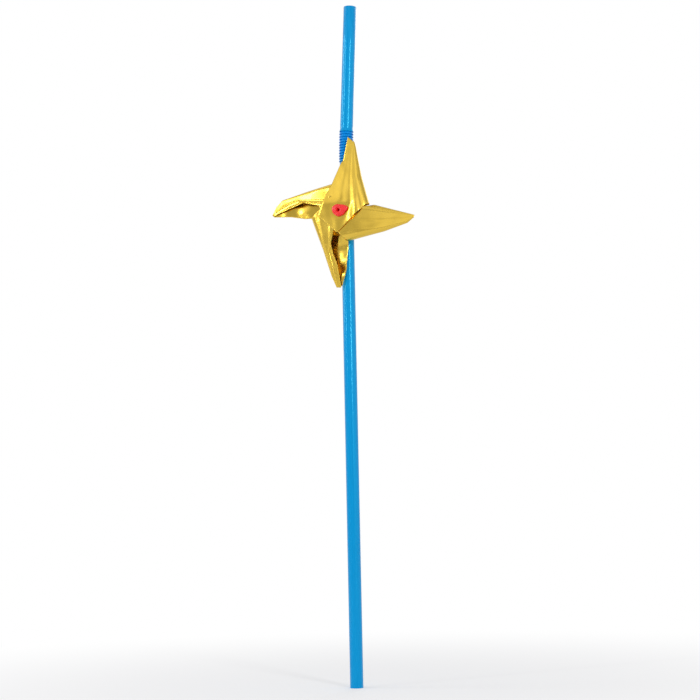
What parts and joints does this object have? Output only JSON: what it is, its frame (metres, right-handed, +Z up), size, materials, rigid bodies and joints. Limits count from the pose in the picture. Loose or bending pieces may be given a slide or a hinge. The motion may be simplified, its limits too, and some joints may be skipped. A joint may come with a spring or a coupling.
{
  "type": "pinwheel drinking straw",
  "caption": "Flexible drinking straw with a folded foil pinwheel that spins on a melted plastic axle through the tube.",
  "frame": {"origin": "centre of the straw's cut lower end", "axes": "+Z up the lower tube, the wheel faces -Y, the neck bends towards +X"},
  "size_m": [0.0578, 0.0137, 0.2633],
  "materials": {
    "straw": "glossy translucent blue polypropylene",
    "neck": "glossy blue polypropylene, darker in the folds",
    "foil": "gold metallised film, mirror-like with soft creases",
    "axle": "red soft plastic, melted and smooth"
  },
  "bodies": {
    "lower_tube": {"lower_tube": "straw", "axle_rivet": "axle"},
    "foil_wheel": {"foil_centre": "foil", "foil_blade_top": "foil", "foil_blade_right": "foil", "foil_blade_bottom": "foil", "foil_blade_left": "foil"},
    "neck_cone_01": {"neck_cone_01": "neck"},
    "neck_cone_02": {"neck_cone_02": "neck"},
    "neck_cone_03": {"neck_cone_03": "neck"},
    "neck_cone_04": {"neck_cone_04": "neck"},
    "neck_cone_05": {"neck_cone_05": "neck"},
    "neck_cone_06": {"neck_cone_06": "neck"},
    "neck_cone_07": {"neck_cone_07": "neck"},
    "neck_cone_08": {"neck_cone_08": "neck"},
    "neck_cone_09": {"neck_cone_09": "neck"},
    "neck_cone_10": {"neck_cone_10": "neck"},
    "neck_cone_11": {"neck_cone_11": "neck"},
    "mouth_tube": {"mouth_tube": "straw"}
  },
  "joints": [
    {"name": "wheel_spin", "type": "hinge", "parent": "lower_tube", "child": "foil_wheel", "pos_m": [0, -0.0033, 0.18085], "axis": [0, -1, 0], "continuous": true},
    {"name": "neck_bend_1", "type": "hinge", "parent": "lower_tube", "child": "neck_cone_01", "pos_m": [0.0028, 0, 0.2015], "axis": [0, 1, 0], "range_deg": [-0.48, 13.5]},
    {"name": "neck_stretch_1", "type": "slide", "parent": "neck_cone_01", "child": "neck_cone_02", "axis": [0.0084, 0, 1], "range_m": [0, 0.0012]},
    {"name": "neck_bend_2", "type": "hinge", "parent": "neck_cone_02", "child": "neck_cone_03", "pos_m": [0.00282, 0, 0.20362], "axis": [0, 1, 0], "range_deg": [-0.48, 13.5]},
    {"name": "neck_stretch_2", "type": "slide", "parent": "neck_cone_03", "child": "neck_cone_04", "axis": [0.0169, 0, 0.9999], "range_m": [0, 0.0012]},
    {"name": "neck_bend_3", "type": "hinge", "parent": "neck_cone_04", "child": "neck_cone_05", "pos_m": [0.00285, 0, 0.20574], "axis": [0, 1, 0], "range_deg": [-0.48, 13.5]},
    {"name": "neck_stretch_3", "type": "slide", "parent": "neck_cone_05", "child": "neck_cone_06", "axis": [0.0253, 0, 0.9997], "range_m": [0, 0.0012]},
    {"name": "neck_bend_4", "type": "hinge", "parent": "neck_cone_06", "child": "neck_cone_07", "pos_m": [0.00291, 0, 0.20786], "axis": [0, 1, 0], "range_deg": [-0.48, 13.5]},
    {"name": "neck_stretch_4", "type": "slide", "parent": "neck_cone_07", "child": "neck_cone_08", "axis": [0.0337, 0, 0.9994], "range_m": [0, 0.0012]},
    {"name": "neck_bend_5", "type": "hinge", "parent": "neck_cone_08", "child": "neck_cone_09", "pos_m": [0.00298, 0, 0.20998], "axis": [0, 1, 0], "range_deg": [-0.48, 13.5]},
    {"name": "neck_stretch_5", "type": "slide", "parent": "neck_cone_09", "child": "neck_cone_10", "axis": [0.0422, 0, 0.9991], "range_m": [0, 0.0012]},
    {"name": "neck_bend_6", "type": "hinge", "parent": "neck_cone_10", "child": "neck_cone_11", "pos_m": [0.00307, 0, 0.2121], "axis": [0, 1, 0], "range_deg": [-0.48, 13.5]},
    {"name": "neck_stretch_6", "type": "slide", "parent": "neck_cone_11", "child": "mouth_tube", "axis": [0.0506, 0, 0.9987], "range_m": [0, 0.0012]}
  ],
  "couplings": [
    {"joint": "neck_bend_2", "follows": "neck_bend_1", "ratio": 1},
    {"joint": "neck_bend_3", "follows": "neck_bend_1", "ratio": 1},
    {"joint": "neck_bend_4", "follows": "neck_bend_1", "ratio": 1},
    {"joint": "neck_bend_5", "follows": "neck_bend_1", "ratio": 1},
    {"joint": "neck_bend_6", "follows": "neck_bend_1", "ratio": 1},
    {"joint": "neck_stretch_2", "follows": "neck_stretch_1", "ratio": 1},
    {"joint": "neck_stretch_3", "follows": "neck_stretch_1", "ratio": 1},
    {"joint": "neck_stretch_4", "follows": "neck_stretch_1", "ratio": 1},
    {"joint": "neck_stretch_5", "follows": "neck_stretch_1", "ratio": 1},
    {"joint": "neck_stretch_6", "follows": "neck_stretch_1", "ratio": 1}
  ]
}
